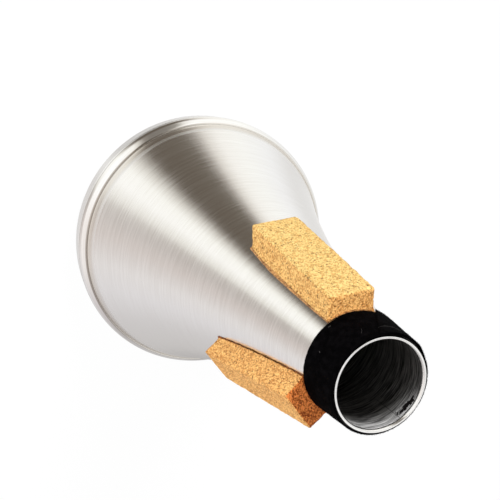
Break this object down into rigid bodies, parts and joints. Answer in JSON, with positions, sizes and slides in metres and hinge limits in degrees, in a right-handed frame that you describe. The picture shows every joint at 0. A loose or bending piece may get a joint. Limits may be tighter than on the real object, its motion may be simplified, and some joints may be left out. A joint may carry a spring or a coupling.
{
  "type": "trumpet mute",
  "caption": "Hollow spun-aluminium straight mute: a flared cone closed by a cap, cork pads that seat it in a trumpet bell, and a flocked sleeve on its open neck.",
  "frame": {"origin": "centre of the flat closed bottom on which the mute stands", "axes": "+Z along the cone's axis from the closed bottom to the open mouth; +X through the middle of the first cork pad"},
  "size_m": [0.1054, 0.1054, 0.168],
  "materials": {
    "aluminium": "spun and brushed round the axis",
    "cork": "pressed cork granules, cut faces, matte",
    "flocked_cloth": "short flock on woven backing, matte",
    "contact_glue": "thin dried contact cement",
    "seam_glue": "cured bead, hidden in the seam"
  },
  "bodies": {
    "root": {"cone_shell": "aluminium", "end_cap": "aluminium", "seam_glue": "seam_glue", "sleeve_glue": "contact_glue", "neck_sleeve": "flocked_cloth", "cork_pad_1": "cork", "cork_pad_2": "cork", "cork_pad_3": "cork", "pad_glue_1": "contact_glue", "pad_glue_2": "contact_glue", "pad_glue_3": "contact_glue"}
  },
  "joints": []
}
